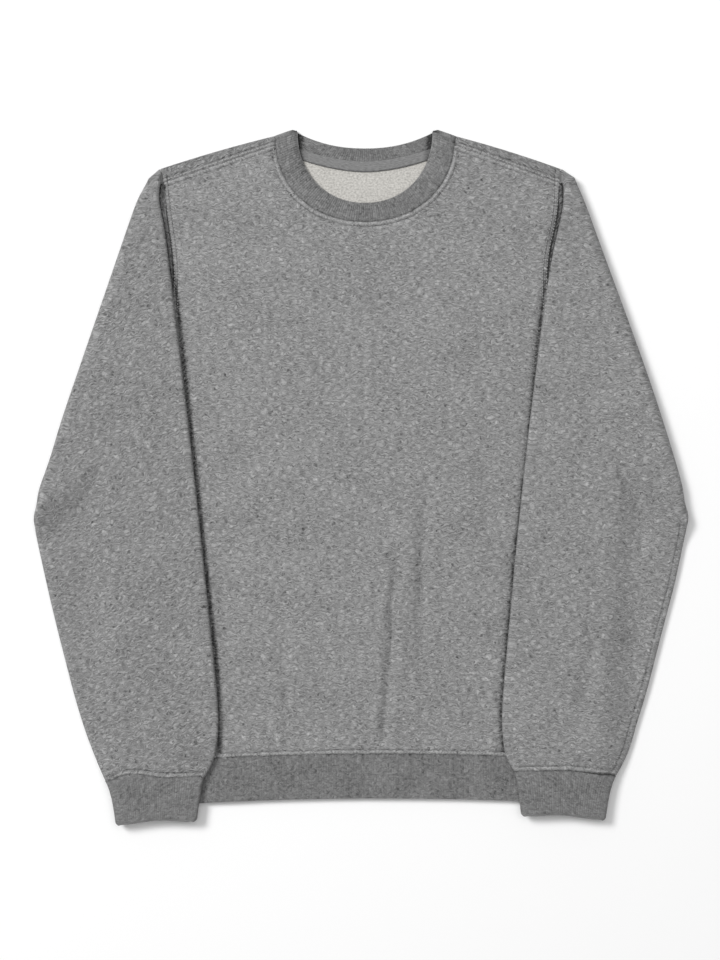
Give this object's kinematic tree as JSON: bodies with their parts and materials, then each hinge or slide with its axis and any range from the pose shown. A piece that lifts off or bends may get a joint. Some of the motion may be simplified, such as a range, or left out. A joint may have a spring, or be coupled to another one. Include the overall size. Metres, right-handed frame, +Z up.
{
  "type": "crewneck sweatshirt",
  "caption": "Long-sleeved crewneck sweatshirt laid flat on its back, sleeves folded forward over the body, with ribbed collar, cuffs and waistband.",
  "frame": {"origin": "bottom centre of the laid garment's bounding box, on the surface it lies on", "axes": "+Z up off the surface, +Y towards the neck, +X to the right as seen from above, which is the wearer's left"},
  "size_m": [0.6932, 0.7349, 0.02],
  "materials": {
    "fleece": "matt melange grey loopback or brushed fleece",
    "rib": "matt darker grey one-by-one rib",
    "tape": "matt grey jersey tape"
  },
  "bodies": {
    "root": {"back_panel": "fleece", "front_panel": "fleece", "sleeve_left": "fleece", "sleeve_right": "fleece", "waistband": "rib", "cuff_left": "rib", "cuff_right": "rib", "neckband": "rib", "neck_tape": "tape"}
  },
  "joints": []
}
